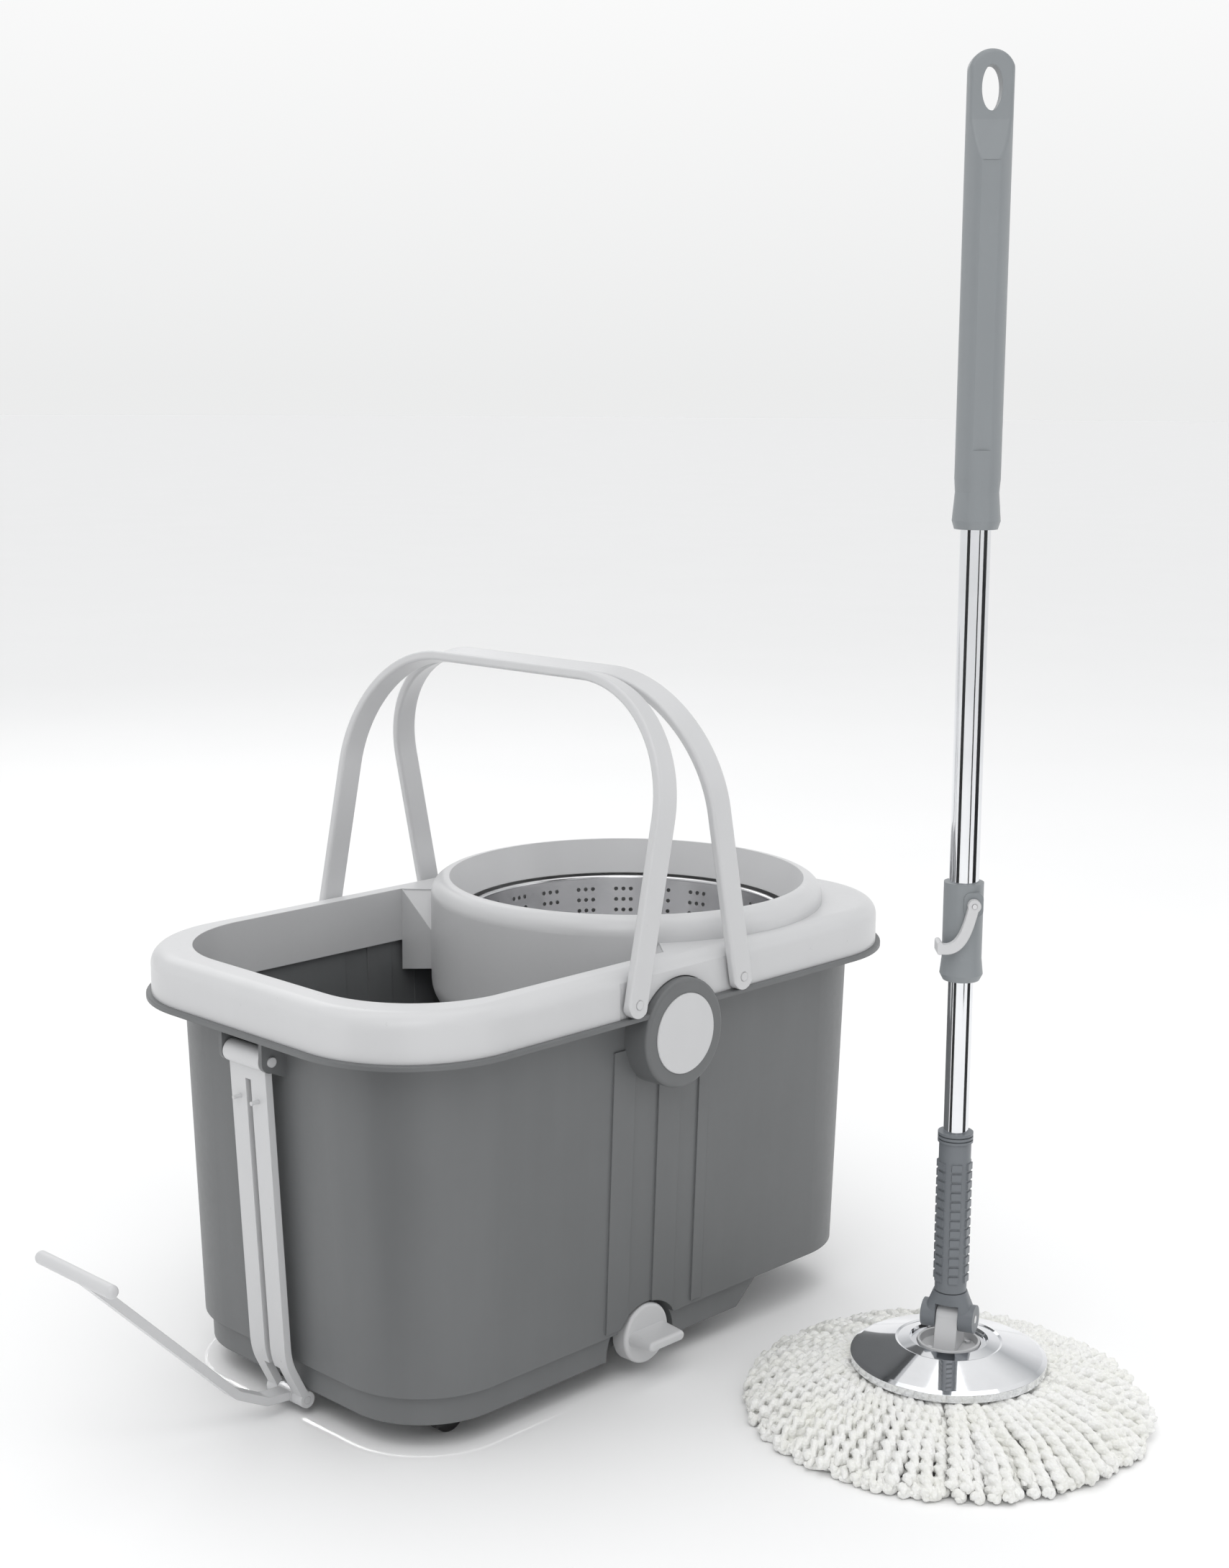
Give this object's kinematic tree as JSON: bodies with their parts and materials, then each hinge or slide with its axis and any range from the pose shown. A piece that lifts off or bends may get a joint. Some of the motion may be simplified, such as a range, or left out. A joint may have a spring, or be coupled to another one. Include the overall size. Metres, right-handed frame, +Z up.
{
  "type": "spin mop",
  "caption": "Spin mop set: wheeled rectangular bucket with perforated wringing basket, folding carry handles, drag handle and drain plug, and a telescoping hand-press mop with strand head.",
  "frame": {"origin": "on the floor under the middle of the bucket", "axes": "+X along the bucket towards the wringing basket, -Y towards the drain plug and the mop, +Z up"},
  "size_m": [0.6212, 0.5892, 0.842],
  "materials": {
    "grey_plastic": "satin moulded polypropylene",
    "white_plastic": "semi-gloss moulded polypropylene",
    "sleeve_plastic": "satin",
    "grip_plastic": "satin",
    "dark_plastic": "satin",
    "stainless_steel": "brushed",
    "chrome_plate": "polished",
    "seal_rubber": "matte",
    "microfibre": "twisted loop pile"
  },
  "bodies": {
    "bucket": {"bucket_body": "grey_plastic", "splash_cover": "white_plastic", "boss_caps": "white_plastic", "handle_pins": "white_plastic", "drag_pin_upper": "white_plastic", "spindle_bearing": "stainless_steel"},
    "carry_handle_left": {"carry_handle_left": "white_plastic"},
    "carry_handle_right": {"carry_handle_right": "white_plastic"},
    "drag_link": {"drag_link_upper": "white_plastic", "drag_pin_lower": "white_plastic"},
    "drag_handle": {"drag_handle": "white_plastic"},
    "drain_seal": {"drain_seal": "seal_rubber"},
    "drain_plug": {"drain_plug": "white_plastic"},
    "basket": {"basket": "stainless_steel", "basket_hub": "white_plastic", "basket_spindle": "stainless_steel", "basket_screws": "stainless_steel"},
    "mop_head": {"strand_skirt": "microfibre", "strand_ring": "white_plastic", "mop_plate": "white_plastic", "head_cover": "chrome_plate", "pivot_hub": "white_plastic", "hub_screws": "stainless_steel"},
    "mop_shaft": {"mop_fork": "sleeve_plastic", "fork_pin": "stainless_steel", "lower_sleeve": "sleeve_plastic", "lower_tube": "chrome_plate"},
    "guide_bush": {"guide_bush": "white_plastic"},
    "drive_nut": {"drive_nut": "dark_plastic"},
    "mop_handle": {"upper_tube": "chrome_plate", "spiral_rod": "stainless_steel", "rod_anchor": "white_plastic", "lock_collar": "grip_plastic", "lever_pin": "stainless_steel", "grip": "grip_plastic"},
    "lock_lever": {"lock_lever": "white_plastic"},
    "caster_front_left": {"caster_hood_front_left": "dark_plastic", "caster_stem_front_left": "stainless_steel", "caster_axle_front_left": "stainless_steel"},
    "wheel_front_left": {"caster_wheel_front_left": "dark_plastic"},
    "caster_rear_left": {"caster_hood_rear_left": "dark_plastic", "caster_stem_rear_left": "stainless_steel", "caster_axle_rear_left": "stainless_steel"},
    "wheel_rear_left": {"caster_wheel_rear_left": "dark_plastic"},
    "caster_front_right": {"caster_hood_front_right": "dark_plastic", "caster_stem_front_right": "stainless_steel", "caster_axle_front_right": "stainless_steel"},
    "wheel_front_right": {"caster_wheel_front_right": "dark_plastic"},
    "caster_rear_right": {"caster_hood_rear_right": "dark_plastic", "caster_stem_rear_right": "stainless_steel", "caster_axle_rear_right": "stainless_steel"},
    "wheel_rear_right": {"caster_wheel_rear_right": "dark_plastic"}
  },
  "joints": [
    {"name": "carry_handle_left_fold", "type": "hinge", "parent": "bucket", "child": "carry_handle_left", "pos_m": [-0.055, 0, 0.2675], "axis": [0, -1, 0], "range_deg": [0, 101]},
    {"name": "carry_handle_right_fold", "type": "hinge", "parent": "bucket", "child": "carry_handle_right", "pos_m": [0.044, 0, 0.2675], "axis": [0, 1, 0], "range_deg": [0, 90]},
    {"name": "drag_link_swing", "type": "hinge", "parent": "bucket", "child": "drag_link", "pos_m": [-0.239, 0, 0.241], "axis": [0, 1, 0], "range_deg": [0, 100]},
    {"name": "drag_handle_fold", "type": "hinge", "parent": "drag_link", "child": "drag_handle", "pos_m": [-0.213, 0, 0.011], "axis": [0, -1, 0], "range_deg": [-41, 135]},
    {"name": "drain_plug_turn", "type": "hinge", "parent": "drain_seal", "child": "drain_plug", "pos_m": [-0.017, -0.12, 0.03], "axis": [0, -1, 0], "range_deg": [0, 1080]},
    {"name": "drain_plug_draw", "type": "slide", "parent": "bucket", "child": "drain_seal", "axis": [0, -1, 0], "range_m": [0, 0.0121]},
    {"name": "basket_spin", "type": "hinge", "parent": "bucket", "child": "basket", "pos_m": [0.095, 0, 0.25], "axis": [0, 0, 1], "continuous": true},
    {"name": "caster_swivel_front_left", "type": "hinge", "parent": "bucket", "child": "caster_front_left", "pos_m": [-0.155, -0.093, 0.03], "axis": [0, 0, 1], "continuous": true},
    {"name": "wheel_spin_front_left", "type": "hinge", "parent": "caster_front_left", "child": "wheel_front_left", "pos_m": [-0.163, -0.093, 0.012], "axis": [0, 1, 0], "continuous": true},
    {"name": "caster_swivel_rear_left", "type": "hinge", "parent": "bucket", "child": "caster_rear_left", "pos_m": [-0.155, 0.093, 0.03], "axis": [0, 0, 1], "continuous": true},
    {"name": "wheel_spin_rear_left", "type": "hinge", "parent": "caster_rear_left", "child": "wheel_rear_left", "pos_m": [-0.163, 0.093, 0.012], "axis": [0, 1, 0], "continuous": true},
    {"name": "caster_swivel_front_right", "type": "hinge", "parent": "bucket", "child": "caster_front_right", "pos_m": [0.053, -0.093, 0.03], "axis": [0, 0, 1], "continuous": true},
    {"name": "wheel_spin_front_right", "type": "hinge", "parent": "caster_front_right", "child": "wheel_front_right", "pos_m": [0.045, -0.093, 0.012], "axis": [0, 1, 0], "continuous": true},
    {"name": "caster_swivel_rear_right", "type": "hinge", "parent": "bucket", "child": "caster_rear_right", "pos_m": [0.053, 0.093, 0.03], "axis": [0, 0, 1], "continuous": true},
    {"name": "wheel_spin_rear_right", "type": "hinge", "parent": "caster_rear_right", "child": "wheel_rear_right", "pos_m": [0.045, 0.093, 0.012], "axis": [0, 1, 0], "continuous": true},
    {"name": "mop_lift", "type": "slide", "parent": "bucket", "child": "mop_head", "axis": [0, 0, 1], "range_m": [0, 0.35]},
    {"name": "mop_tilt", "type": "hinge", "parent": "mop_head", "child": "mop_shaft", "pos_m": [0.084, -0.3, 0.064], "axis": [0.342, -0.9397, 0], "range_deg": [-60, 60]},
    {"name": "mop_spin", "type": "hinge", "parent": "mop_shaft", "child": "guide_bush", "pos_m": [0.084, -0.3, 0.52], "axis": [0, 0, 1], "continuous": true},
    {"name": "pole_press", "type": "slide", "parent": "guide_bush", "child": "mop_handle", "axis": [0, 0, 1], "range_m": [-0.09, 0.16]},
    {"name": "drive_nut_turn", "type": "hinge", "parent": "guide_bush", "child": "drive_nut", "pos_m": [0.084, -0.3, 0.52], "axis": [0, 0, 1], "range_deg": [-725, 410]},
    {"name": "lock_lever_flip", "type": "hinge", "parent": "mop_handle", "child": "lock_lever", "pos_m": [0.07631, -0.31361, 0.336], "axis": [0.7169, 0.6972, 0], "range_deg": [0, 95]}
  ],
  "couplings": [
    {"joint": "drain_plug_draw", "follows": "drain_plug_turn", "m_per_rad": 0.00063662},
    {"joint": "drive_nut_turn", "follows": "pole_press", "rad_per_m": -78.54}
  ]
}
